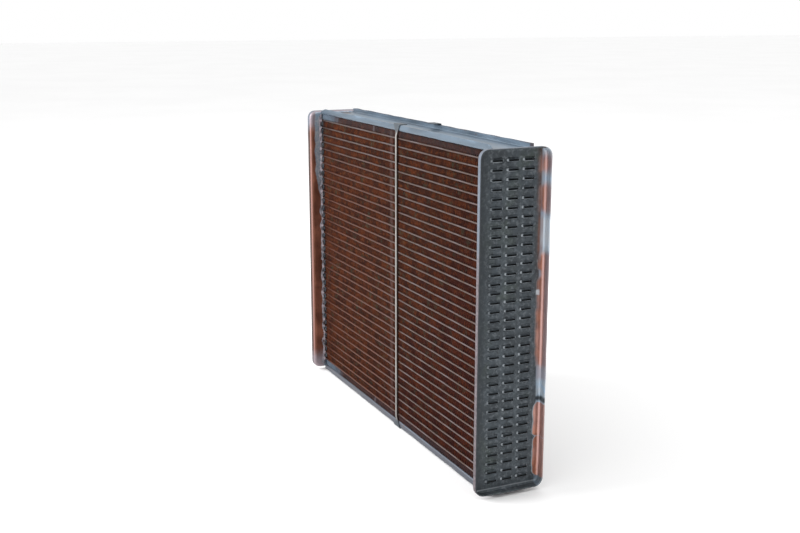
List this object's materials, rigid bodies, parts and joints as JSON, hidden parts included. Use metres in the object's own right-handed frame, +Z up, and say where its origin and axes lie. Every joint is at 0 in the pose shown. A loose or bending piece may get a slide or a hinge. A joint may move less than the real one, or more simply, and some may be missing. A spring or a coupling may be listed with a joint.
{
  "type": "car radiator core",
  "caption": "Radiator core block: flat tubes and folded fins soldered between flanged header plates, with side channels and tie straps.",
  "frame": {"origin": "centre of the bounding box at its bottom, level with the underside of the tie strap hooks", "axes": "+X along the tubes towards one header plate, +Y through the core in the direction of the air, +Z up across the tube rows"},
  "size_m": [0.5074, 0.0834, 0.3851],
  "materials": {
    "header_sheet": "bare copper-red sheet, dull dark grey where it was dipped in solder",
    "solder": "dull grey tin-lead solder",
    "tube_brass": "tinned brass, oxidised",
    "fin_copper": "dark red-brown oxidised copper sheet",
    "plate_steel": "tinned steel sheet, blue-grey satin",
    "strap_steel": "tinned steel strip, satin"
  },
  "bodies": {
    "root": {"fin_strip_01": "fin_copper", "fin_strip_02": "fin_copper", "fin_strip_03": "fin_copper", "fin_strip_04": "fin_copper", "fin_strip_05": "fin_copper", "fin_strip_06": "fin_copper", "fin_strip_07": "fin_copper", "fin_strip_08": "fin_copper", "fin_strip_09": "fin_copper", "fin_strip_10": "fin_copper", "fin_strip_11": "fin_copper", "fin_strip_12": "fin_copper", "fin_strip_13": "fin_copper", "fin_strip_14": "fin_copper", "fin_strip_15": "fin_copper", "fin_strip_16": "fin_copper", "fin_strip_17": "fin_copper", "fin_strip_18": "fin_copper", "fin_strip_19": "fin_copper", "fin_strip_20": "fin_copper", "fin_strip_21": "fin_copper", "fin_strip_22": "fin_copper", "fin_strip_23": "fin_copper", "fin_strip_24": "fin_copper", "fin_strip_25": "fin_copper", "fin_strip_26": "fin_copper", "fin_strip_27": "fin_copper", "fin_strip_28": "fin_copper", "fin_strip_29": "fin_copper", "fin_strip_30": "fin_copper", "fin_strip_31": "fin_copper", "fin_strip_32": "fin_copper", "fin_strip_33": "fin_copper", "fin_strip_34": "fin_copper", "fin_strip_35": "fin_copper", "fin_strip_36": "fin_copper", "fin_strip_37": "fin_copper", "header_plate_left": "header_sheet", "header_plate_right": "header_sheet", "side_plate_bottom": "plate_steel", "side_plate_top": "plate_steel", "tie_strap_front": "strap_steel", "tie_strap_rear": "strap_steel", "tube_column_1": "tube_brass", "tube_column_2": "tube_brass", "tube_column_3": "tube_brass", "tube_solder_left": "solder", "tube_solder_right": "solder"}
  },
  "joints": []
}
